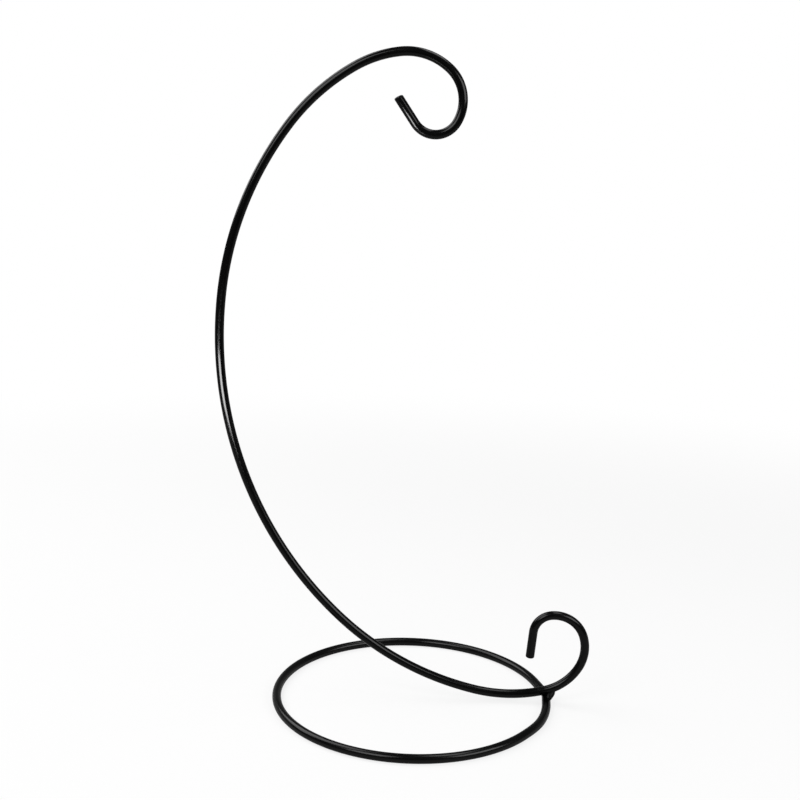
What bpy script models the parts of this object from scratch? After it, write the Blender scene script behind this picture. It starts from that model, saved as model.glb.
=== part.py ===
"""Ornament stand: a hooked crescent arm of bent rod, welded across a ring of rod that lies on the table.

Metres, +Z up. The arm stands in the plane y = 0 and the ring's centre is on that plane.
The origin is under the middle of the whole stand, on the surface that it stands on.
"""

import math

import bmesh
import bpy
from mathutils import Vector

# Rod stock
ARM_ROD_DIAMETER = 0.0084
RING_ROD_DIAMETER = 0.0084
ROD_SIDES = 20
SEAT_GAP = 0.0003
MERGE_DISTANCE = 0.00001

# Arm, from where it sits on the ring back to its hook: radius, and turn in degrees, of each bend
SADDLE_SLOPE = 14.5
HEEL_RADIUS = 0.145
HEEL_TURN = 27.5
LOWER_SWEEP_RADIUS = 0.285
LOWER_SWEEP_TURN = 30.0
BACK_RADIUS = 0.370
BACK_TURN = 53.0
UPPER_SWEEP_RADIUS = 0.310
UPPER_SWEEP_TURN = 30.5
SHOULDER_RADIUS = 0.195
SHOULDER_TURN = 23.0
CROWN_RADIUS = 0.105
CROWN_TURN = 23.0
HOOK_BROW_RADIUS = 0.056
HOOK_BROW_TURN = 48.5
HOOK_SIDE_RADIUS = 0.037
HOOK_SIDE_TURN = 78.0
HOOK_CRADLE_RADIUS = 0.022
HOOK_CRADLE_TURN = 116.0
HOOK_TIP_LENGTH = 0.0265

# Arm, from the same place on to its scroll
SCROLL_FOOT_RADIUS = 0.051
SCROLL_FOOT_TURN = 46.0
SCROLL_SIDE_RADIUS = 0.040
SCROLL_SIDE_TURN = 49.0
SCROLL_TOP_RADIUS = 0.030
SCROLL_TOP_TURN = 76.0
SCROLL_CURL_RADIUS = 0.019
SCROLL_CURL_TURN = 80.0
SCROLL_TIP_LENGTH = 0.025

TIP_ROUNDING = 0.0006
TIP_ROUNDING_SEGMENTS = 3
RIM_ANGLE = 60.0
BEND_STEP = 6.0
LONGEST_CHORD = 0.012

# Ring: rolled round, and straight at its two cut ends, which meet at a seam just behind the arm.
# The near end springs out a little before its straight length, which passes under the arm.
RING_RADIUS = 0.130
RING_STEP = 3.75
NEAR_END_SPRING = 0.0014
SPRING_START_ANGLE = -38.0
SPRING_END_ANGLE = -22.0
NEAR_STRAIGHT_ANGLE = -5.5
FAR_STRAIGHT_ANGLE = -344.0
SEAM_DISTANCE = 0.012
SEAM_OPENING = 0.0024
SEAM_BEVEL = 0.0008
SEAM_BEVEL_SEGMENTS = 1

# Seam weld: a barrel around the seam
SEAM_WELD_LENGTH = 0.0056
SEAM_WELD_CROWN = 0.0008
SEAM_WELD_WAIST_SHARE = 0.92
SEAM_WELD_STEPS = 10

# Arm welds: beads along the notches where the arm crosses the ring. Each row gives a place beside
# the point of contact, along the arm, to its far side and up, and how full the bead is there, as
# shares of the ring rod's diameter and of the bead's radius.
OUTER_WELD_RADIUS = 0.0025
OUTER_WELD_SHARES = (
    (1.06, 0.04, 0.13, 0.36),
    (0.86, -0.11, 0.06, 0.66),
    (0.61, -0.30, -0.03, 0.96),
    (0.38, -0.53, -0.19, 1.00),
    (0.24, -0.79, -0.39, 0.85),
)
BACK_WELD_RADIUS = 0.0023
BACK_WELD_SHARES = (
    (-0.52, 0.62, 0.00, 0.70),
    (-0.20, 0.66, 0.06, 1.00),
    (0.14, 0.64, 0.04, 0.85),
)
BEAD_SIDES = 14
BEAD_STEPS = 6
BEAD_END_POWER = 0.4
RIPPLE_PITCH = 0.0019
RIPPLE_SHARE = 0.05

ENAMEL_BLACK = (0.012, 0.012, 0.013, 1.0)
WELD_BLACK = (0.014, 0.014, 0.015, 1.0)
ENAMEL_ROUGHNESS = 0.32
WELD_ROUGHNESS = 0.42
SMOOTH_ANGLE = 40.0


def clear_scene():
    for obj in list(bpy.data.objects):
        bpy.data.objects.remove(obj)


def new_collection(name):
    collection = bpy.data.collections.new(name)
    bpy.context.scene.collection.children.link(collection)
    return collection


def painted(name, colour, roughness):
    """Black paint over steel."""
    material = bpy.data.materials.new(name)
    material.use_nodes = True
    material.diffuse_color = colour
    shader = material.node_tree.nodes["Principled BSDF"]
    shader.inputs["Base Color"].default_value = colour
    shader.inputs["Roughness"].default_value = roughness
    shader.inputs["Metallic"].default_value = 0.0
    return material


def heading(degrees):
    return Vector((math.cos(math.radians(degrees)), math.sin(math.radians(degrees))))


def left_of(direction):
    return Vector((-direction.y, direction.x))


def ring_height():
    """Height of the ring's centre line, with the facet that faces down on the table."""
    return RING_ROD_DIAMETER / 2 * math.cos(math.pi / ROD_SIDES)


def ring_radius_at(angle):
    """Centre-line radius of the ring at an angle in degrees, from -360 to 0."""
    share = (angle - SPRING_START_ANGLE) / (SPRING_END_ANGLE - SPRING_START_ANGLE)
    share = min(max(share, 0.0), 1.0)
    return RING_RADIUS + NEAR_END_SPRING * share * share * (3 - 2 * share)


def cut_end(angle, side, allowance=0.0):
    """Where the straight end that leaves the ring's bend at an angle is cut off, short of the seam.

    side is 1 for the near end, which runs away to the seam, and -1 for the far end, which runs back.
    """
    leaving = heading(angle) * ring_radius_at(angle)
    along = left_of(heading(angle))
    stop = SEAM_DISTANCE - side * (SEAM_OPENING / 2 - allowance)
    return leaving + along * ((stop - leaving.y) / along.y)


def ring_path(end_allowance=0.0):
    """Centre line of the ring in its own plane, from its far end all the way round to its near end."""
    turned = NEAR_STRAIGHT_ANGLE - FAR_STRAIGHT_ANGLE
    steps = math.ceil(turned / RING_STEP)
    angles = [FAR_STRAIGHT_ANGLE + turned * step / steps for step in range(steps + 1)]
    bend = [heading(angle) * ring_radius_at(angle) for angle in angles]
    far_end = cut_end(FAR_STRAIGHT_ANGLE, -1, end_allowance)
    near_end = cut_end(NEAR_STRAIGHT_ANGLE, 1, end_allowance)
    return [far_end, *bend, near_end]


def seam_place():
    """The middle of the seam, between the ring's two cut ends."""
    return (cut_end(FAR_STRAIGHT_ANGLE, -1) + cut_end(NEAR_STRAIGHT_ANGLE, 1)) / 2


def contact_place():
    """Where the arm touches the ring, in the arm's plane: the arm's slope sets the side of the rod."""
    leaving = heading(NEAR_STRAIGHT_ANGLE) * ring_radius_at(NEAR_STRAIGHT_ANGLE)
    along = left_of(heading(NEAR_STRAIGHT_ANGLE))
    under_arm = leaving - along * (leaving.y / along.y)
    ring_axis = Vector((under_arm.x, ring_height()))
    return ring_axis + left_of(heading(SADDLE_SLOPE)) * (RING_ROD_DIAMETER / 2)


def saddle_place():
    """The arm's centre line over the point of contact."""
    return contact_place() + left_of(heading(SADDLE_SLOPE)) * (SEAT_GAP + ARM_ROD_DIAMETER / 2)


def bent_run(start, start_heading, side, bends, tip_length):
    """Centre line of a rod in its own plane: tangent arcs of (radius, turn), then a straight tip.

    side is 1 where the run turns left and -1 where it turns right.
    """
    points = [start.copy()]
    angle = start_heading
    for radius, turn in bends:
        centre = points[-1] + left_of(heading(angle)) * (side * radius)
        chords = math.radians(turn) * radius / LONGEST_CHORD
        steps = math.ceil(max(turn / BEND_STEP, chords))
        for step in range(1, steps + 1):
            here = angle + side * turn * step / steps
            points.append(centre - left_of(heading(here)) * (side * radius))
        angle += side * turn
    points.append(points[-1] + heading(angle) * tip_length)
    return points


def arm_path():
    """Centre line of the arm in its own plane, from the hook's tip to the scroll's tip."""
    hook_bends = (
        (HEEL_RADIUS, HEEL_TURN),
        (LOWER_SWEEP_RADIUS, LOWER_SWEEP_TURN),
        (BACK_RADIUS, BACK_TURN),
        (UPPER_SWEEP_RADIUS, UPPER_SWEEP_TURN),
        (SHOULDER_RADIUS, SHOULDER_TURN),
        (CROWN_RADIUS, CROWN_TURN),
        (HOOK_BROW_RADIUS, HOOK_BROW_TURN),
        (HOOK_SIDE_RADIUS, HOOK_SIDE_TURN),
        (HOOK_CRADLE_RADIUS, HOOK_CRADLE_TURN),
    )
    scroll_bends = (
        (SCROLL_FOOT_RADIUS, SCROLL_FOOT_TURN),
        (SCROLL_SIDE_RADIUS, SCROLL_SIDE_TURN),
        (SCROLL_TOP_RADIUS, SCROLL_TOP_TURN),
        (SCROLL_CURL_RADIUS, SCROLL_CURL_TURN),
    )
    saddle = saddle_place()
    to_hook = bent_run(saddle, 180 + SADDLE_SLOPE, -1, hook_bends, HOOK_TIP_LENGTH)
    to_scroll = bent_run(saddle, SADDLE_SLOPE, 1, scroll_bends, SCROLL_TIP_LENGTH)
    return to_hook[::-1] + to_scroll[1:]


def ring_centre():
    """The ring's centre, set so that the arm reaches as far to one side of the origin as to the other."""
    across = [point.x for point in arm_path()]
    return Vector((-(min(across) + max(across)) / 2, 0.0, 0.0))


def curve_object(name, points, diameter, sides, tilt, fullness=None):
    """A tube along points: a poly curve with a round bevel and filled caps."""
    curve = bpy.data.curves.new(name + "_path", "CURVE")
    curve.dimensions = "3D"
    curve.twist_mode = "Z_UP"
    curve.bevel_depth = diameter / 2
    curve.bevel_resolution = (sides - 4) // 2
    curve.use_fill_caps = True
    spline = curve.splines.new("POLY")
    spline.points.add(len(points) - 1)
    for index, point in enumerate(points):
        spline.points[index].co = (*point.to_3d(), 1.0)
        spline.points[index].tilt = tilt
        spline.points[index].radius = fullness[index] if fullness else 1.0
    return bpy.data.objects.new(name + "_curve", curve)


def tube_mesh(name, points, diameter, sides, tilt=0.0, fullness=None):
    """The same tube as one closed mesh, with its caps welded on."""
    tube = curve_object(name, points, diameter, sides, tilt, fullness)
    bpy.context.scene.collection.objects.link(tube)
    bpy.context.view_layer.update()
    evaluated = tube.evaluated_get(bpy.context.evaluated_depsgraph_get())
    mesh = bpy.data.meshes.new_from_object(evaluated)
    mesh.name = name
    body = bmesh.new()
    body.from_mesh(mesh)
    bmesh.ops.remove_doubles(body, verts=body.verts, dist=MERGE_DISTANCE)
    bmesh.ops.recalc_face_normals(body, faces=body.faces)
    body.to_mesh(mesh)
    body.free()
    path = tube.data
    bpy.data.objects.remove(tube)
    bpy.data.curves.remove(path)
    return mesh


def rod_mesh(name, points, diameter, rounding, segments):
    """A rod with its cut ends bevelled, and facets facing squarely up and down in its own plane."""
    mesh = tube_mesh(name, points, diameter, ROD_SIDES, tilt=math.pi / ROD_SIDES)
    body = bmesh.new()
    body.from_mesh(mesh)
    rims = [edge for edge in body.edges if edge.calc_face_angle() > math.radians(RIM_ANGLE)]
    bmesh.ops.bevel(
        body,
        geom=rims,
        offset=rounding,
        segments=segments,
        profile=0.5,
        affect="EDGES",
        clamp_overlap=True,
    )
    body.to_mesh(mesh)
    body.free()
    return mesh


def finish(obj, material):
    obj.data.materials.clear()
    obj.data.materials.append(material)
    obj.data.shade_smooth()
    obj.data.set_sharp_from_angle(angle=math.radians(SMOOTH_ANGLE))
    return obj


def place(name, mesh, parent, collection):
    obj = bpy.data.objects.new(name, mesh)
    collection.objects.link(obj)
    obj.parent = parent
    return obj


def place_cutter(name, mesh, parent, collection):
    cutter = place(name, mesh, parent, collection)
    cutter.hide_render = True
    cutter.display_type = "WIRE"
    return cutter


def cut(obj, cutter):
    modifier = obj.modifiers.new("clear_of_" + cutter.name, "BOOLEAN")
    modifier.operation = "DIFFERENCE"
    modifier.solver = "EXACT"
    modifier.object = cutter


def stand_upright(obj):
    """Turns what was drawn flat into the arm's plane."""
    obj.rotation_euler = (math.pi / 2, 0.0, 0.0)


def smooth_between(rows, steps):
    """Rows read from a smooth curve through the given rows."""
    padded = [rows[0], *rows, rows[-1]]
    out = []
    for before, here, after, beyond in zip(padded, padded[1:], padded[2:], padded[3:]):
        for step in range(steps):
            t = step / steps
            out.append(
                here
                + (after - before) * (t / 2)
                + (before * 2 - here * 5 + after * 4 - beyond) * (t * t / 2)
                + (here * 3 - before - after * 3 + beyond) * (t * t * t / 2)
            )
    return out + [rows[-1]]


def bead_mesh(name, shares, radius):
    """A weld bead: a full middle, round ends and the ripples that the weld pool leaves as it moves on."""
    along = heading(SADDLE_SLOPE)
    up = left_of(along)
    contact = contact_place()
    rows = []
    for along_share, away_share, up_share, full_share in shares:
        flat = contact + (along * along_share + up * up_share) * RING_ROD_DIAMETER
        rows.append(Vector((flat.x, away_share * RING_ROD_DIAMETER, flat.y, full_share)))
    rows = smooth_between(rows, BEAD_STEPS)
    length = sum((b.to_3d() - a.to_3d()).length for a, b in zip(rows, rows[1:]))
    travelled = 0.0
    points = []
    fullness = []
    for index, row in enumerate(rows):
        if index:
            travelled += (row.to_3d() - rows[index - 1].to_3d()).length
        end_share = (index + 0.5) / len(rows)
        ripple = 1 + RIPPLE_SHARE * math.cos(math.tau * travelled / RIPPLE_PITCH)
        points.append(row.to_3d())
        fullness.append(row[3] * math.sin(math.pi * end_share) ** BEAD_END_POWER * ripple)
    return tube_mesh(name, points, radius + radius, BEAD_SIDES, fullness=fullness)


def seam_barrel_mesh(name):
    """Half profile of a barrel whose axis is Z, top to bottom: a bead that swells over the seam."""
    crown = RING_ROD_DIAMETER / 2 + SEAM_WELD_CROWN
    waist = RING_ROD_DIAMETER / 2 * SEAM_WELD_WAIST_SHARE
    half_length = SEAM_WELD_LENGTH / 2
    profile = [Vector((0.0, 0.0, half_length))]
    for step in range(SEAM_WELD_STEPS + 1):
        share = 1 - 2 * step / SEAM_WELD_STEPS
        profile.append(Vector((crown - (crown - waist) * share * share, 0.0, half_length * share)))
    profile.append(Vector((0.0, 0.0, -half_length)))
    mesh = bpy.data.meshes.new(name)
    edges = [(index, index + 1) for index in range(len(profile) - 1)]
    mesh.from_pydata(profile, edges, [])
    return mesh


def make_arm_rod(parent, collection):
    mesh = rod_mesh("arm_rod", arm_path(), ARM_ROD_DIAMETER, TIP_ROUNDING, TIP_ROUNDING_SEGMENTS)
    arm = place("arm_rod", mesh, parent, collection)
    stand_upright(arm)
    return finish(arm, painted("arm_enamel", ENAMEL_BLACK, ENAMEL_ROUGHNESS))


def make_base_ring(parent, collection):
    mesh = rod_mesh("base_ring", ring_path(), RING_ROD_DIAMETER, SEAM_BEVEL, SEAM_BEVEL_SEGMENTS)
    ring = place("base_ring", mesh, parent, collection)
    ring.location.z = ring_height()
    return finish(ring, painted("ring_enamel", ENAMEL_BLACK, ENAMEL_ROUGHNESS))


def make_clearance_cutters(parent, collection):
    """The two rods grown by the seat gap: welds are cut to these, so they hug the rods."""
    grown = SEAT_GAP + SEAT_GAP
    arm_mesh = rod_mesh(
        "arm_clearance", arm_path(), ARM_ROD_DIAMETER + grown, TIP_ROUNDING, TIP_ROUNDING_SEGMENTS
    )
    arm_clearance = place_cutter("arm_clearance", arm_mesh, parent, collection)
    stand_upright(arm_clearance)
    ring_mesh = rod_mesh(
        "ring_clearance", ring_path(SEAT_GAP), RING_ROD_DIAMETER + grown, SEAM_BEVEL, SEAM_BEVEL_SEGMENTS
    )
    ring_clearance = place_cutter("ring_clearance", ring_mesh, parent, collection)
    ring_clearance.location.z = ring_height()
    return arm_clearance, ring_clearance


def make_grinder(parent, collection):
    """The table's side of the seam weld is ground away, level with the underside of the ring."""
    size = RING_ROD_DIAMETER + SEAM_WELD_LENGTH
    mesh = bpy.data.meshes.new("grinder")
    body = bmesh.new()
    bmesh.ops.create_cube(body, size=size)
    body.to_mesh(mesh)
    body.free()
    grinder = place_cutter("grinder", mesh, parent, collection)
    seam = seam_place()
    grinder.location = (seam.x, seam.y, -size / 2)
    return grinder


def turn_on_seam(barrel):
    """Lays a barrel's profile on the ring's centre line at the seam, and turns it into a solid."""
    seam = seam_place()
    turn = math.radians(FAR_STRAIGHT_ANGLE + 360 + NEAR_STRAIGHT_ANGLE) / 2
    barrel.location = (seam.x, seam.y, ring_height())
    barrel.rotation_euler = (math.pi / 2, math.pi / ROD_SIDES, turn)
    turned = barrel.modifiers.new("turned", "SCREW")
    turned.steps = ROD_SIDES
    turned.render_steps = ROD_SIDES
    turned.use_merge_vertices = True
    turned.merge_threshold = MERGE_DISTANCE


def make_ring_seam_weld(parent, collection, ring_clearance, grinder):
    weld = place("ring_seam_weld", seam_barrel_mesh("ring_seam_weld"), parent, collection)
    turn_on_seam(weld)
    cut(weld, ring_clearance)
    cut(weld, grinder)
    return finish(weld, painted("seam_weld_enamel", WELD_BLACK, WELD_ROUGHNESS))


def make_arm_weld(name, shares, radius, parent, collection, cutters):
    weld = place(name, bead_mesh(name, shares, radius), parent, collection)
    for cutter in cutters:
        cut(weld, cutter)
    return finish(weld, painted(name + "_enamel", WELD_BLACK, WELD_ROUGHNESS))


def main():
    clear_scene()
    stand = new_collection("ornament_stand")
    cutters = new_collection("cutters")
    cutters.hide_render = True
    centre = bpy.data.objects.new("ring_centre", None)
    centre.location = ring_centre()
    stand.objects.link(centre)
    make_arm_rod(centre, stand)
    make_base_ring(centre, stand)
    arm_clearance, ring_clearance = make_clearance_cutters(centre, cutters)
    grinder = make_grinder(centre, cutters)
    make_ring_seam_weld(centre, stand, ring_clearance, grinder)
    rods = (arm_clearance, ring_clearance)
    make_arm_weld("arm_weld_outer", OUTER_WELD_SHARES, OUTER_WELD_RADIUS, centre, stand, rods)
    make_arm_weld("arm_weld_back", BACK_WELD_SHARES, BACK_WELD_RADIUS, centre, stand, rods)


main()
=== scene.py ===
"""Looks of the ornament stand: smooth bent rods, weld beads and black enamel, in a pale studio."""

import math

import bpy
from mathutils import Matrix, Vector


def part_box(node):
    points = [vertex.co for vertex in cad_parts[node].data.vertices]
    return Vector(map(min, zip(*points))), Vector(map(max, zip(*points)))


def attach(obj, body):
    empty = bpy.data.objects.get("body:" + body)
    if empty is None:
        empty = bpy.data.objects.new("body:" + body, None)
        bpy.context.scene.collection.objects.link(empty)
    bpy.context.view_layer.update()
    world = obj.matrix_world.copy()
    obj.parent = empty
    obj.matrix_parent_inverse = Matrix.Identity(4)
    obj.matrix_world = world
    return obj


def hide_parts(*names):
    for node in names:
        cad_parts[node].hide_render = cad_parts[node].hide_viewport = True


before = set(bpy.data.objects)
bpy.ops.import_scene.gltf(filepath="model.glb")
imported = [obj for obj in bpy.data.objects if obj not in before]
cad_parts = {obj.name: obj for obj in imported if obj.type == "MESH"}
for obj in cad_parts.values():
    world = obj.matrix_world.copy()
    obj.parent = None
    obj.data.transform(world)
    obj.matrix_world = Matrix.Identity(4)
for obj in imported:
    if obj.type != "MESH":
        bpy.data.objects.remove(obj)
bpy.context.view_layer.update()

# Rod stock and its cut ends, in metres and degrees
ROD_RADIUS = 0.0042
ROD_SIDES = 40
ROUND = 1.0
ROW_SPACING = 0.0016
TIP_CAP_DEPTH = 0.0021
SEAM_CAP_DEPTH = 0.0005
CAP_SQUARENESS = 3.2
CAP_ROWS = 12
POLE_SHARE = 0.02
WAVE_HEIGHT = 0.000035
WAVE_LENGTH = 0.014
SQUARE_CUT = 0.0
HOOK_TIP_SKEW = -7.0
SKEW_REACH = 0.006

# Arm, from where it sits on the ring: (radius, turn in degrees) of each bend
SADDLE_SLOPE = 14.5
HOOK_BENDS = (
    (0.145, 27.5),
    (0.285, 30.0),
    (0.370, 53.0),
    (0.310, 30.5),
    (0.195, 23.0),
    (0.105, 23.0),
    (0.056, 48.5),
    (0.037, 78.0),
    (0.022, 116.0),
)
HOOK_TIP_LENGTH = 0.0277
SCROLL_BENDS = (
    (0.051, 46.0),
    (0.040, 49.0),
    (0.030, 76.0),
    (0.019, 80.0),
)
SCROLL_TIP_LENGTH = 0.0264

# Ring, with its straight ends and its seam behind the arm
RING_RADIUS = 0.130
NEAR_END_SPRING = 0.0014
SPRING_START_ANGLE = -38.0
SPRING_END_ANGLE = -22.0
NEAR_STRAIGHT_ANGLE = -5.5
FAR_STRAIGHT_ANGLE = -344.0
SEAM_DISTANCE = 0.012
SEAM_OPENING = 0.0024

# Corner welds: places beside the contact as (along the arm, to its far side, up, fullness)
OUTER_BEAD_RADIUS = 0.0033
OUTER_BEAD_SHARES = (
    (1.12, 0.10, 0.20, 0.72),
    (0.85, -0.08, 0.09, 0.96),
    (0.61, -0.28, -0.02, 1.00),
    (0.38, -0.52, -0.18, 1.00),
    (0.12, -0.84, -0.44, 0.90),
)
BACK_BEAD_RADIUS = 0.0029
BACK_BEAD_SHARES = (
    (-0.58, 0.56, -0.02, 0.75),
    (-0.20, 0.60, 0.02, 1.00),
    (0.20, 0.58, 0.00, 0.85),
)

# Seam weld round the ring, with its start and end in degrees about the rod
SEAM_BEAD_RADIUS = 0.0030
SEAM_BEAD_FLATNESS = 0.60
SEAM_BEAD_SINK = 0.0012
SEAM_BEAD_START = -62.0
SEAM_BEAD_END = 242.0
SEAM_BEAD_STEP = 8.0

# Surface of every weld bead
BEAD_SIDES = 40
BEAD_END_POWER = 0.22
BEAD_STEPS = 10
RIPPLE_PITCH = 0.0011
RIPPLE_HEIGHT = 0.00012
RIPPLE_BOW = 0.55
BEAD_LUMP_HEIGHT = 0.00018
BEAD_LUMP_LENGTH = 0.0022
LOWEST_PLACE = (-1.0, -1.0, 0.0)

# Enamel of each piece: material name, roughness, gloss
ARM_ENAMEL = ("black_enamel_arm", 0.165, 0.25)
RING_ENAMEL = ("black_enamel_ring", 0.20, 0.28)
WELD_ENAMEL = ("black_enamel_weld", 0.38, 0.12)

# Black enamel's cloudiness, the drawing lines that show through it, and its orange peel
ENAMEL_IOR = 1.5
CLOUD_SCALE = 38.0
CLOUD_DETAIL = 5.0
CLOUD_COARSENESS = 0.6
CLOUD_COLOURS = (
    (0.30, (0.0006, 0.0006, 0.0007, 1.0)),
    (0.72, (0.0020, 0.0020, 0.0020, 1.0)),
)
CLOUD_DULLING = 0.16
LINE_SCALES = (900.0, 900.0, 14.0)
LINE_DETAIL = 3.0
LINE_DULLING = 0.08
LINE_RELIEF = 0.35
PEEL_SCALE = 620.0
PEEL_DETAIL = 2.0
PEEL_COARSENESS = 0.4
RELIEF_STRENGTH = 0.14
RELIEF_DEPTH = 0.00012

# Camera of the photograph: square frame, 36 mm sensor, place in metres and turns in radians
CAMERA_PLACE = (-0.0076, -1.1082, 0.5197)
CAMERA_PITCH = -0.19915
CAMERA_YAW = -0.00137
CAMERA_ROLL = 0.03128
CAMERA_LENS = 54.863
CAMERA_NEAR = 0.05
CAMERA_FAR = 50.0

# What the lamps face
STAND_MIDDLE = (0.0, 0.0, 0.30)
ARM_BACK = (-0.184, -0.004, 0.305)
HOOK_TIP = (-0.0172, 0.0, 0.5448)

# Softboxes: name, azimuth from the camera's side, elevation, distance, width, height, radiance, aim
SOFTBOXES = (
    ("front_left_softbox", -35.0, 37.0, 1.5, 0.82, 0.90, 4.0, STAND_MIDDLE),
    ("back_left_softbox", -116.0, 43.0, 1.5, 1.25, 1.45, 3.0, STAND_MIDDLE),
    ("right_softbox", 58.0, 25.0, 1.5, 1.08, 0.72, 3.85, STAND_MIDDLE),
    ("top_softbox", 102.0, 71.0, 1.5, 1.00, 0.50, 3.25, STAND_MIDDLE),
)

# Small cards for local highlights, for glossy rays only: the same, then the spread in degrees
SHEEN_CARDS = (
    ("arm_back_card", -6.0, -11.3, 0.20, 0.190, 0.074, 9.2, ARM_BACK, 102.0),
    ("hook_tip_card", -23.4, -21.6, 0.05, 0.024, 0.026, 3.7, HOOK_TIP, 66.0),
)

# Brightness of the surroundings, where 1 is white
WHITE = (1.0, 1.0, 1.0, 1.0)
AMBIENT_STRENGTH = 0.10
MIRRORED_WHITE = 0.23

# Mirrored backdrop, by a ray's direction: it grows as rays point back, and fades as they point up
BACKDROP_START = 0.0
BACKDROP_END = 0.5
BACKDROP_TOP_START = 0.22
BACKDROP_TOP_END = 0.56

# Floor: its size and colour, where its mirrored backdrop grows, and where its white glow does
FLOOR_SIZE = 14.0
FLOOR_WHITE = 0.92
FLOOR_MIRRORED_NEAR = 0.05
FLOOR_BACKDROP_START = -0.70
FLOOR_BACKDROP_END = -0.20
FLOOR_GLOW_NEAR = 0.80
FLOOR_FADE_START = 0.5
FLOOR_FADE_END = 1.6


def heading(degrees):
    """The direction in a plane at an angle from its x axis."""
    return Vector((math.cos(math.radians(degrees)), math.sin(math.radians(degrees))))


def left_of(direction):
    """The direction a quarter turn to the left."""
    return Vector((-direction.y, direction.x))


def bent_run(start, start_heading, side, bends, tip_length):
    """Centre line of arcs, each tangent to the last, then a straight tip; side 1 bends left."""
    points = [start.copy()]
    angle = start_heading
    for radius, turn in bends:
        centre = points[-1] + left_of(heading(angle)) * (side * radius)
        steps = math.ceil(math.radians(turn) * radius / ROW_SPACING)
        for step in range(1, steps + 1):
            here = angle + side * turn * step / steps
            points.append(centre - left_of(heading(here)) * (side * radius))
        angle += side * turn
    steps = math.ceil(tip_length / ROW_SPACING)
    bend_end = points[-1]
    for step in range(1, steps + 1):
        points.append(bend_end + heading(angle) * (tip_length * step / steps))
    return points


def arm_line():
    """The arm's centre line from hook tip to scroll tip, and its saddle, placed by the CAD arm."""
    saddle = Vector((0.0, 0.0))
    to_hook = bent_run(saddle, 180 + SADDLE_SLOPE, -1, HOOK_BENDS, HOOK_TIP_LENGTH)
    to_scroll = bent_run(saddle, SADDLE_SLOPE, 1, SCROLL_BENDS, SCROLL_TIP_LENGTH)
    low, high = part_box("arm_rod")
    across = [point.x for point in to_hook + to_scroll]
    top = max(point.y for point in to_hook)
    shift = Vector((
        (low.x + high.x - min(across) - max(across)) / 2,
        high.z - ROD_RADIUS - top,
    ))
    line = to_hook[::-1] + to_scroll[1:]
    return [point + shift for point in line], saddle + shift


def ring_radius_at(angle):
    """The ring's radius, which grows smoothly where its near end springs out."""
    share = (angle - SPRING_START_ANGLE) / (SPRING_END_ANGLE - SPRING_START_ANGLE)
    share = min(max(share, 0.0), 1.0)
    return RING_RADIUS + NEAR_END_SPRING * share * share * (3 - 2 * share)


def cut_end(angle, side):
    """Where a straight end leaves the ring's bend, and where it is cut; side 1 is the near end."""
    leaving = heading(angle) * ring_radius_at(angle)
    along = left_of(heading(angle))
    stop = SEAM_DISTANCE - side * SEAM_OPENING / 2
    return leaving, leaving + along * ((stop - leaving.y) / along.y)


def straight_between(start, end):
    """Points after start, up to and with end."""
    steps = math.ceil((end - start).length / ROW_SPACING)
    return [start + (end - start) * (step / steps) for step in range(1, steps + 1)]


def ring_line():
    """The ring's centre line, from its far end round to its near end, about its own centre."""
    far_leaving, far_end = cut_end(FAR_STRAIGHT_ANGLE, -1)
    near_leaving, near_end = cut_end(NEAR_STRAIGHT_ANGLE, 1)
    turned = NEAR_STRAIGHT_ANGLE - FAR_STRAIGHT_ANGLE
    steps = math.ceil(math.radians(turned) * RING_RADIUS / ROW_SPACING)
    bend = []
    for step in range(1, steps):
        angle = FAR_STRAIGHT_ANGLE + turned * step / steps
        bend.append(heading(angle) * ring_radius_at(angle))
    into_bend = [far_end] + straight_between(far_end, far_leaving)
    return into_bend + bend + [near_leaving] + straight_between(near_leaving, near_end)


def ring_centre():
    """The ring's centre in the row frame, from the CAD ring's box."""
    low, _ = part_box("base_ring")
    return Vector((low.x + RING_RADIUS + ROD_RADIUS, 0.0, ROD_RADIUS))


def capped_rows(line, depth):
    """Rows of a rod as (place, fullness), with its cut ends rounded over a depth."""
    caps = []
    for tip, inner in ((line[0], line[1]), (line[-1], line[-2])):
        inward = (inner - tip).normalized()
        cap = []
        for row in range(CAP_ROWS + 1):
            angle = math.pi / 2 * row / CAP_ROWS
            fullness = math.sin(angle) ** (2 / CAP_SQUARENESS)
            sunk = depth * (1 - max(math.cos(angle), 0.0) ** (2 / CAP_SQUARENESS))
            cap.append((tip + inward * sunk, max(fullness, POLE_SHARE)))
        caps.append(cap)
    clear = depth + ROW_SPACING / 4
    middle = [
        (point, 1.0) for point in line
        if min((point - line[0]).length, (point - line[-1]).length) > clear
    ]
    return caps[0] + middle + caps[1][::-1]


def path_object(name, rows):
    """A line of edges with a fullness at each point, for a sweep to follow."""
    mesh = bpy.data.meshes.new(name)
    edges = [(index, index + 1) for index in range(len(rows) - 1)]
    mesh.from_pydata([place.to_3d() for place, _ in rows], edges, [])
    fullness = mesh.attributes.new("fullness", "FLOAT", "POINT")
    fullness.data.foreach_set("value", [share for _, share in rows])
    path = bpy.data.objects.new(name + "_path", mesh)
    bpy.context.scene.collection.objects.link(path)
    return path


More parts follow.
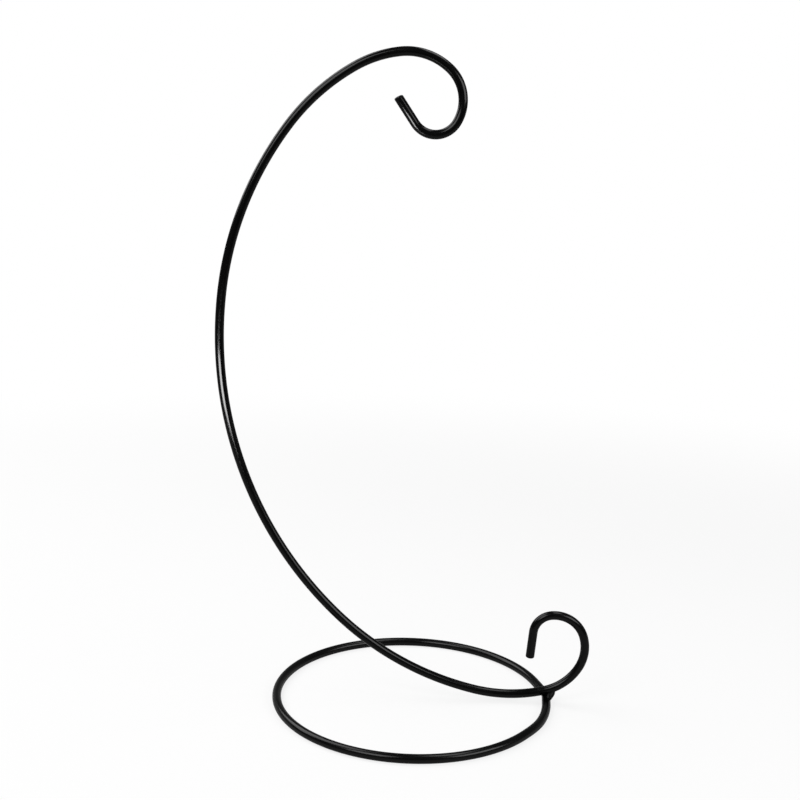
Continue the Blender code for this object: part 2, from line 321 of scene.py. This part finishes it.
class Tree:
    """A node tree under construction, with short ways to add and join nodes."""

    def __init__(self, tree):
        self.tree = tree

    def add(self, kind, settings=None, **values):
        """A new node with its settings, and its sockets filled by name."""
        node = self.tree.nodes.new(kind)
        for key, value in (settings or {}).items():
            setattr(node, key, value)
        for label, value in values.items():
            self.put(self.socket(node, label.replace("_", " ")), value)
        return node

    def put(self, socket, value):
        """Joins another node's socket to this one, or sets this one to a value."""
        if isinstance(value, bpy.types.NodeSocket):
            self.tree.links.new(value, socket)
        else:
            socket.default_value = value

    @staticmethod
    def socket(node, label):
        """The input in use that has a name, whatever its capitals."""
        for socket in node.inputs:
            if socket.enabled and socket.name.lower() == label.lower():
                return socket
        raise KeyError(f"{node.bl_idname} has no input {label}")

    def fill(self, node, values):
        """Fills a node's first inputs in their order, and gives its first output."""
        for socket, value in zip(node.inputs, values):
            self.put(socket, value)
        return node.outputs[0]

    def math(self, operation, *values):
        """One Math node, with its result's socket."""
        return self.fill(self.add("ShaderNodeMath", {"operation": operation}), values)

    def vector(self, operation, *values):
        """One Vector Math node, with its vector result's socket."""
        return self.fill(self.add("ShaderNodeVectorMath", {"operation": operation}), values)

    def scale(self, vector, factor):
        """A vector times a number."""
        node = self.add("ShaderNodeVectorMath", {"operation": "SCALE"}, Vector=vector, Scale=factor)
        return node.outputs["Vector"]


def sweep_tree(name, inputs):
    """A Geometry Nodes tree from a path to a mesh, with the outputs of its group input node."""
    group = bpy.data.node_groups.new(name, "GeometryNodeTree")
    interface = group.interface
    interface.new_socket("Path", in_out="INPUT", socket_type="NodeSocketGeometry")
    for label, kind in inputs:
        interface.new_socket(label, in_out="INPUT", socket_type="NodeSocket" + kind)
    interface.new_socket("Mesh", in_out="OUTPUT", socket_type="NodeSocketGeometry")
    tree = Tree(group)
    return tree, tree.add("NodeGroupInput").outputs


def named(tree, name, kind):
    """A named attribute's socket."""
    node = tree.add("GeometryNodeInputNamedAttribute", {"data_type": kind}, Name=name)
    return node.outputs["Attribute"]


def stored(tree, geometry, name, kind, value):
    """The geometry with a value kept on its points."""
    settings = {"data_type": kind, "domain": "POINT"}
    node = tree.add(
        "GeometryNodeStoreNamedAttribute", settings, Geometry=geometry, Name=name, Value=value
    )
    return node.outputs["Geometry"]


def swept(tree, given):
    """The path swept with a round section; each point keeps how far along and round it is."""
    curve = tree.add("GeometryNodeMeshToCurve", Mesh=given["Path"]).outputs["Curve"]
    curve = tree.add(
        "GeometryNodeSetCurveNormal", {"mode": "MINIMUM_TWIST"}, Curve=curve
    ).outputs["Curve"]
    length = tree.add("GeometryNodeSplineParameter").outputs["Length"]
    curve = stored(tree, curve, "along", "FLOAT", length)
    tangent = tree.add("GeometryNodeInputTangent").outputs["Tangent"]
    curve = stored(tree, curve, "run", "FLOAT_VECTOR", tangent)
    section = tree.add(
        "GeometryNodeCurvePrimitiveCircle", Resolution=given["Sides"], Radius=given["Radius"]
    ).outputs["Curve"]
    shape = tree.add("ShaderNodeCombineXYZ", X=1.0, Y=given["Flatness"], Z=1.0).outputs["Vector"]
    section = tree.add(
        "GeometryNodeTransform", Geometry=section, Scale=shape
    ).outputs["Geometry"]
    place = tree.add("GeometryNodeInputPosition").outputs["Position"]
    section = stored(tree, section, "section", "FLOAT_VECTOR", place)
    sweep = tree.add("GeometryNodeCurveToMesh", Curve=curve, Profile_Curve=section, Fill_Caps=True)
    tree.put(sweep.inputs["Scale"], named(tree, "fullness", "FLOAT"))
    return sweep.outputs["Mesh"]


def noise(tree, vector, scale):
    """Noise centred on zero."""
    node = tree.add("ShaderNodeTexNoise", Vector=vector, Scale=scale)
    return tree.math("SUBTRACT", node.outputs[0], 0.5)


def moved(tree, mesh, **where):
    """The mesh with its points moved by an Offset, or to a Position."""
    return tree.add("GeometryNodeSetPosition", Geometry=mesh, **where).outputs["Geometry"]


def grain_stored(tree, mesh):
    """Keeps a seamless coordinate for the enamel: across the section, and along the piece."""
    section = tree.scale(named(tree, "section", "FLOAT_VECTOR"), named(tree, "fullness", "FLOAT"))
    across = tree.add("ShaderNodeSeparateXYZ", Vector=section).outputs
    along = named(tree, "along", "FLOAT")
    grain = tree.add("ShaderNodeCombineXYZ", X=across["X"], Y=across["Y"], Z=along)
    return stored(tree, mesh, "grain", "FLOAT_VECTOR", grain.outputs["Vector"])


def finished(tree, geometry, given):
    """Ends a sweep: smooth shading, realized instances and its enamel."""
    smooth = tree.add("GeometryNodeSetShadeSmooth", Geometry=geometry).outputs["Geometry"]
    whole = tree.add("GeometryNodeRealizeInstances", Geometry=smooth).outputs["Geometry"]
    painted = tree.add("GeometryNodeSetMaterial", Geometry=whole, Material=given["Enamel"])
    tree.add("NodeGroupOutput", Mesh=painted.outputs["Geometry"])
    return tree.tree


def rod_tree():
    """Round rod: a sweep with a skewed cut at its first tip and the slight waves of drawn stock."""
    tree, given = sweep_tree("round_rod", (
        ("Radius", "Float"),
        ("Flatness", "Float"),
        ("Sides", "Int"),
        ("Wave height", "Float"),
        ("Wave length", "Float"),
        ("Skew", "Float"),
        ("Skew reach", "Float"),
        ("Enamel", "Material"),
    ))
    mesh = swept(tree, given)
    section = named(tree, "section", "FLOAT_VECTOR")
    along = named(tree, "along", "FLOAT")
    across = tree.add("ShaderNodeSeparateXYZ", Vector=section).outputs["X"]
    nearness = tree.math("DIVIDE", along, given["Skew reach"])
    nearness = tree.math("MAXIMUM", tree.math("SUBTRACT", 1.0, nearness), 0.0)
    fullness = named(tree, "fullness", "FLOAT")
    slide = tree.math("MULTIPLY", across, tree.math("MULTIPLY", nearness, given["Skew"]))
    slide = tree.math("MULTIPLY", slide, fullness)
    skewed = tree.scale(named(tree, "run", "FLOAT_VECTOR"), slide)
    mesh = moved(tree, mesh, Offset=skewed)
    place = tree.add("GeometryNodeInputPosition").outputs["Position"]
    frequency = tree.math("DIVIDE", 1.0, given["Wave length"])
    wave = tree.math("MULTIPLY", noise(tree, place, frequency), given["Wave height"])
    wave = tree.scale(tree.add("GeometryNodeInputNormal").outputs["Normal"], wave)
    mesh = moved(tree, mesh, Offset=wave)
    return finished(tree, grain_stored(tree, mesh), given)


def bead_tree():
    """Weld bead: a sweep with bowed ripples and hand-laid lumps, held above the ground."""
    tree, given = sweep_tree("weld_bead", (
        ("Radius", "Float"),
        ("Flatness", "Float"),
        ("Sides", "Int"),
        ("Ripple pitch", "Float"),
        ("Ripple height", "Float"),
        ("Ripple bow", "Float"),
        ("Lump height", "Float"),
        ("Lump length", "Float"),
        ("Enamel", "Material"),
    ))
    mesh = swept(tree, given)
    section = named(tree, "section", "FLOAT_VECTOR")
    along = named(tree, "along", "FLOAT")
    sideways = tree.add("ShaderNodeSeparateXYZ", Vector=section).outputs["X"]
    lag = tree.math("DIVIDE", tree.math("MULTIPLY", sideways, sideways), given["Radius"])
    travelled = tree.math("ADD", along, tree.math("MULTIPLY", lag, given["Ripple bow"]))
    place = tree.add("GeometryNodeInputPosition").outputs["Position"]
    frequency = tree.math("DIVIDE", 1.0, given["Lump length"])
    lump = noise(tree, place, frequency)
    travelled = tree.math("ADD", travelled, tree.math("MULTIPLY", lump, given["Ripple pitch"]))
    phase = tree.math("FRACT", tree.math("DIVIDE", travelled, given["Ripple pitch"]))
    ripple = tree.math("SQRT", tree.math("SUBTRACT", 1.0, tree.math("MULTIPLY", phase, phase)))
    ripple = tree.math("MULTIPLY", ripple, given["Ripple height"])
    lump = tree.math("MULTIPLY", lump, given["Lump height"])
    rise = tree.math("MULTIPLY", tree.math("ADD", ripple, lump), named(tree, "fullness", "FLOAT"))
    rise = tree.scale(tree.add("GeometryNodeInputNormal").outputs["Normal"], rise)
    mesh = moved(tree, mesh, Offset=rise)
    mesh = moved(tree, mesh, Position=tree.vector("MAXIMUM", place, LOWEST_PLACE))
    return finished(tree, grain_stored(tree, mesh), given)


def run_tree(name, rows, group, settings, turn):
    """Sweeps rows into a plain mesh object at the origin, turned and moved into the row frame."""
    path = path_object(name, rows)
    modifier = path.modifiers.new("sweep", "NODES")
    modifier.node_group = group
    for item in group.interface.items_tree:
        if item.name in settings:
            modifier[item.identifier] = settings[item.name]
    bpy.context.view_layer.update()
    evaluated = path.evaluated_get(bpy.context.evaluated_depsgraph_get())
    mesh = bpy.data.meshes.new_from_object(evaluated)
    path_mesh = path.data
    bpy.data.objects.remove(path)
    bpy.data.meshes.remove(path_mesh)
    mesh.name = name
    mesh.transform(turn)
    for spare in ("along", "run", "section", "fullness"):
        mesh.attributes.remove(mesh.attributes[spare])
    piece = bpy.data.objects.new(name, mesh)
    bpy.context.scene.collection.objects.link(piece)
    return piece


def upright():
    """The turn from the arm's flat drawing into its standing plane."""
    return Matrix.Rotation(math.pi / 2, 4, "X")


def rod(name, line, cap_depth, skew, finish, turn):
    """A bent rod along a centre line."""
    settings = {
        "Radius": ROD_RADIUS,
        "Flatness": ROUND,
        "Sides": ROD_SIDES,
        "Wave height": WAVE_HEIGHT,
        "Wave length": WAVE_LENGTH,
        "Skew": math.tan(math.radians(skew)),
        "Skew reach": SKEW_REACH,
        "Enamel": finish,
    }
    return run_tree(name, capped_rows(line, cap_depth), rod_tree(), settings, turn)


def smooth_between(rows, steps):
    """Rows read from a smooth curve through the given rows."""
    padded = [rows[0], *rows, rows[-1]]
    out = []
    for before, here, after, beyond in zip(padded, padded[1:], padded[2:], padded[3:]):
        for step in range(steps):
            t = step / steps
            out.append(
                here
                + (after - before) * (t / 2)
                + (before * 2 - here * 5 + after * 4 - beyond) * (t * t / 2)
                + (here * 3 - before - after * 3 + beyond) * (t * t * t / 2)
            )
    return out + [rows[-1]]


def rounded_ends(places):
    """Rows of a bead as (place, fullness), from vectors of place and fullness."""
    rows = []
    for index, place in enumerate(places):
        arch = max(math.sin(math.pi * index / (len(places) - 1)), 0.0) ** BEAD_END_POWER
        rows.append((place.to_3d(), max(place[3] * arch, POLE_SHARE)))
    return rows


def contact_place(saddle):
    """Where the arm touches the ring."""
    return saddle - left_of(heading(SADDLE_SLOPE)) * ROD_RADIUS


def corner_rows(saddle, shares):
    """Rows of a bead beside the crossing, in the row frame, from shares of the rod's thickness."""
    along = heading(SADDLE_SLOPE)
    up = left_of(along)
    contact = contact_place(saddle)
    places = []
    for along_share, away_share, up_share, full_share in shares:
        flat = contact + (along * along_share + up * up_share) * (ROD_RADIUS * 2)
        places.append(Vector((flat.x, away_share * ROD_RADIUS * 2, flat.y, full_share)))
    return rounded_ends(smooth_between(places, BEAD_STEPS))


def seam_rows():
    """Rows of the bead round the ring's seam, open underneath, where the weld is ground away."""
    far_end = cut_end(FAR_STRAIGHT_ANGLE, -1)[1]
    near_end = cut_end(NEAR_STRAIGHT_ANGLE, 1)[1]
    seam = (far_end + near_end).to_3d() / 2 + ring_centre()
    across = heading((FAR_STRAIGHT_ANGLE + 360 + NEAR_STRAIGHT_ANGLE) / 2).to_3d()
    steps = math.ceil((SEAM_BEAD_END - SEAM_BEAD_START) / SEAM_BEAD_STEP)
    places = []
    for step in range(steps + 1):
        angle = SEAM_BEAD_START + (SEAM_BEAD_END - SEAM_BEAD_START) * step / steps
        way = heading(angle)
        spoke = across * way.x + Vector((0.0, 0.0, way.y))
        places.append((seam + spoke * (ROD_RADIUS - SEAM_BEAD_SINK)).to_4d())
        places[-1][3] = 1.0
    return rounded_ends(places)


def weld(name, rows, radius, flatness, finish):
    """A weld bead along its rows."""
    settings = {
        "Radius": radius,
        "Flatness": flatness,
        "Sides": BEAD_SIDES,
        "Ripple pitch": RIPPLE_PITCH,
        "Ripple height": RIPPLE_HEIGHT,
        "Ripple bow": RIPPLE_BOW,
        "Lump height": BEAD_LUMP_HEIGHT,
        "Lump length": BEAD_LUMP_LENGTH,
        "Enamel": finish,
    }
    return run_tree(name, rows, bead_tree(), settings, Matrix.Identity(4))


def off_centre(tree, value, amount):
    """How far a noise value is from its middle, times an amount."""
    return tree.math("MULTIPLY", tree.math("SUBTRACT", value, 0.5), amount)


def enamel(name, roughness, gloss):
    """Near-black enamel with faint clouds, orange peel and drawing lines along the rod."""
    material = bpy.data.materials.new(name)
    material.use_nodes = True
    tree = Tree(material.node_tree)
    shader = material.node_tree.nodes["Principled BSDF"].inputs
    tree.put(shader["Specular IOR Level"], gloss)
    tree.put(shader["IOR"], ENAMEL_IOR)
    place = tree.add("ShaderNodeTexCoord").outputs["Object"]
    grain = tree.add("ShaderNodeAttribute", {"attribute_name": "grain"}).outputs["Vector"]
    cloud = tree.add(
        "ShaderNodeTexNoise",
        Vector=place,
        Scale=CLOUD_SCALE,
        Detail=CLOUD_DETAIL,
        Roughness=CLOUD_COARSENESS,
    ).outputs["Fac"]
    blacks = tree.add("ShaderNodeValToRGB", Fac=cloud)
    for stop, (position, colour) in zip(blacks.color_ramp.elements, CLOUD_COLOURS):
        stop.position = position
        stop.color = colour
    tree.put(shader["Base Color"], blacks.outputs["Color"])
    stretched = tree.vector("MULTIPLY", grain, LINE_SCALES)
    lines = tree.add(
        "ShaderNodeTexNoise", Vector=stretched, Scale=1.0, Detail=LINE_DETAIL
    ).outputs["Fac"]
    cloudy = off_centre(tree, cloud, CLOUD_DULLING)
    streaky = off_centre(tree, lines, LINE_DULLING)
    rough = tree.math("ADD", tree.math("ADD", cloudy, streaky), roughness)
    tree.put(shader["Roughness"], rough)
    peel = tree.add(
        "ShaderNodeTexNoise",
        Vector=place,
        Scale=PEEL_SCALE,
        Detail=PEEL_DETAIL,
        Roughness=PEEL_COARSENESS,
    ).outputs["Fac"]
    height = tree.math("ADD", peel, tree.math("MULTIPLY", lines, LINE_RELIEF))
    bump = tree.add(
        "ShaderNodeBump", Strength=RELIEF_STRENGTH, Distance=RELIEF_DEPTH, Height=height
    )
    tree.put(shader["Normal"], bump.outputs["Normal"])
    return material


def smooth_range(tree, value, start, end, low, high):
    """A value that runs from start to end, turned smoothly into one from low to high."""
    return tree.add(
        "ShaderNodeMapRange",
        {"interpolation_type": "SMOOTHSTEP"},
        Value=value,
        From_Min=start,
        From_Max=end,
        To_Min=low,
        To_Max=high,
    ).outputs["Result"]


def seen_share(tree, white):
    """One for camera rays, a white for glossy and transmitted ones, else zero; and Light Path."""
    path = tree.add("ShaderNodeLightPath").outputs
    mirrored = tree.math("MAXIMUM", path["Is Glossy Ray"], path["Is Transmission Ray"])
    mirrored = tree.math("MULTIPLY", mirrored, white)
    return tree.math("MAXIMUM", mirrored, path["Is Camera Ray"]), path


def floor_material():
    """Pale and matte near the stand, where it keeps the shadow, then fading into white."""
    material = bpy.data.materials.new("floor_white")
    material.use_nodes = True
    material.node_tree.nodes.clear()
    tree = Tree(material.node_tree)
    matte = tree.add("ShaderNodeBsdfDiffuse", Color=(FLOOR_WHITE, FLOOR_WHITE, FLOOR_WHITE, 1.0))
    place = tree.add("ShaderNodeTexCoord").outputs["Object"]
    depth = tree.add("ShaderNodeSeparateXYZ", Vector=place).outputs["Y"]
    white = smooth_range(
        tree,
        depth,
        FLOOR_BACKDROP_START,
        FLOOR_BACKDROP_END,
        FLOOR_MIRRORED_NEAR,
        MIRRORED_WHITE,
    )
    strength, path = seen_share(tree, white)
    glow = tree.add("ShaderNodeEmission", Color=WHITE, Strength=strength)
    away = tree.add("ShaderNodeVectorMath", {"operation": "LENGTH"}, Vector=place).outputs["Value"]
    fade = smooth_range(tree, away, FLOOR_FADE_START, FLOOR_FADE_END, FLOOR_GLOW_NEAR, 1.0)
    lit = tree.math("MAXIMUM", path["Is Diffuse Ray"], path["Is Shadow Ray"])
    share = tree.math("MULTIPLY", fade, tree.math("SUBTRACT", 1.0, lit))
    mixed = tree.add("ShaderNodeMixShader", Fac=share)
    tree.put(mixed.inputs[1], matte.outputs[0])
    tree.put(mixed.inputs[2], glow.outputs[0])
    tree.add("ShaderNodeOutputMaterial", Surface=mixed.outputs[0])
    return material


def make_floor():
    """The ground that the stand is on."""
    half = FLOOR_SIZE / 2
    mesh = bpy.data.meshes.new("floor")
    corners = [(-half, -half, 0.0), (half, -half, 0.0), (half, half, 0.0), (-half, half, 0.0)]
    mesh.from_pydata(corners, [], [(0, 1, 2, 3)])
    mesh.materials.append(floor_material())
    floor = bpy.data.objects.new("floor", mesh)
    bpy.context.scene.collection.objects.link(floor)


def make_world():
    """White where the camera sees it; mirrored, pale behind the stand and dim elsewhere."""
    world = bpy.data.worlds.new("studio")
    bpy.context.scene.world = world
    world.use_nodes = True
    tree = Tree(world.node_tree)
    background = world.node_tree.nodes["Background"].inputs
    tree.put(background["Color"], WHITE)
    way = tree.add("ShaderNodeTexCoord").outputs["Generated"]
    way = tree.add("ShaderNodeSeparateXYZ", Vector=way).outputs
    behind = smooth_range(tree, way["Y"], BACKDROP_START, BACKDROP_END, 0.0, MIRRORED_WHITE)
    low = smooth_range(tree, way["Z"], BACKDROP_TOP_START, BACKDROP_TOP_END, 1.0, 0.0)
    strength, _ = seen_share(tree, tree.math("MULTIPLY", behind, low))
    tree.put(background["Strength"], tree.math("MAXIMUM", strength, AMBIENT_STRENGTH))


def make_lamp(name, azimuth, elevation, distance, width, height, radiance, aim):
    """A flat lamp that faces its aim, out of the camera's sight."""
    lamp = bpy.data.lights.new(name, "AREA")
    lamp.shape = "RECTANGLE"
    lamp.size = width
    lamp.size_y = height
    lamp.energy = radiance * math.pi * width * height
    panel = bpy.data.objects.new(name, lamp)
    bpy.context.scene.collection.objects.link(panel)
    flat = heading(azimuth - 90)
    rise = heading(elevation)
    way = Vector((flat.x * rise.x, flat.y * rise.x, rise.y))
    panel.location = Vector(aim) + way * distance
    panel.rotation_euler = way.to_track_quat("Z", "Y").to_euler()
    panel.visible_camera = False
    return panel


def make_lamps():
    """The softboxes that light the stand, and the cards for its local highlights."""
    for softbox in SOFTBOXES:
        make_lamp(*softbox)
    for *card, spread in SHEEN_CARDS:
        panel = make_lamp(*card)
        panel.visible_diffuse = False
        panel.data.spread = math.radians(spread)


def make_camera():
    """The photograph's camera."""
    data = bpy.data.cameras.new("camera")
    data.lens = CAMERA_LENS
    data.clip_start = CAMERA_NEAR
    data.clip_end = CAMERA_FAR
    camera = bpy.data.objects.new("camera", data)
    bpy.context.scene.collection.objects.link(camera)
    turn = (
        Matrix.Rotation(-CAMERA_YAW, 4, "Z")
        @ Matrix.Rotation(math.pi / 2 + CAMERA_PITCH, 4, "X")
        @ Matrix.Rotation(CAMERA_ROLL, 4, "Z")
    )
    camera.matrix_world = Matrix.Translation(CAMERA_PLACE) @ turn
    bpy.context.scene.camera = camera


def place_piece(piece, node):
    """Puts a piece on the stand's one body, in place of its CAD node."""
    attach(piece, "root")
    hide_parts(node)


def make_stand():
    """The bent arm, the ring and the three welds between them."""
    arm_finish = enamel(*ARM_ENAMEL)
    ring_finish = enamel(*RING_ENAMEL)
    weld_finish = enamel(*WELD_ENAMEL)
    line, saddle = arm_line()
    arm = rod("bent_arm", line, TIP_CAP_DEPTH, HOOK_TIP_SKEW, arm_finish, upright())
    place_piece(arm, "arm_rod")
    to_ring = Matrix.Translation(ring_centre())
    ring = rod("ring", ring_line(), SEAM_CAP_DEPTH, SQUARE_CUT, ring_finish, to_ring)
    place_piece(ring, "base_ring")
    outer_rows = corner_rows(saddle, OUTER_BEAD_SHARES)
    outer = weld("outer_weld", outer_rows, OUTER_BEAD_RADIUS, ROUND, weld_finish)
    place_piece(outer, "arm_weld_outer")
    back_rows = corner_rows(saddle, BACK_BEAD_SHARES)
    back = weld("back_weld", back_rows, BACK_BEAD_RADIUS, ROUND, weld_finish)
    place_piece(back, "arm_weld_back")
    seam = weld("seam_weld", seam_rows(), SEAM_BEAD_RADIUS, SEAM_BEAD_FLATNESS, weld_finish)
    place_piece(seam, "ring_seam_weld")


make_camera()
make_world()
make_lamps()
make_floor()
make_stand()
bpy.context.scene.view_settings.view_transform = "Standard"
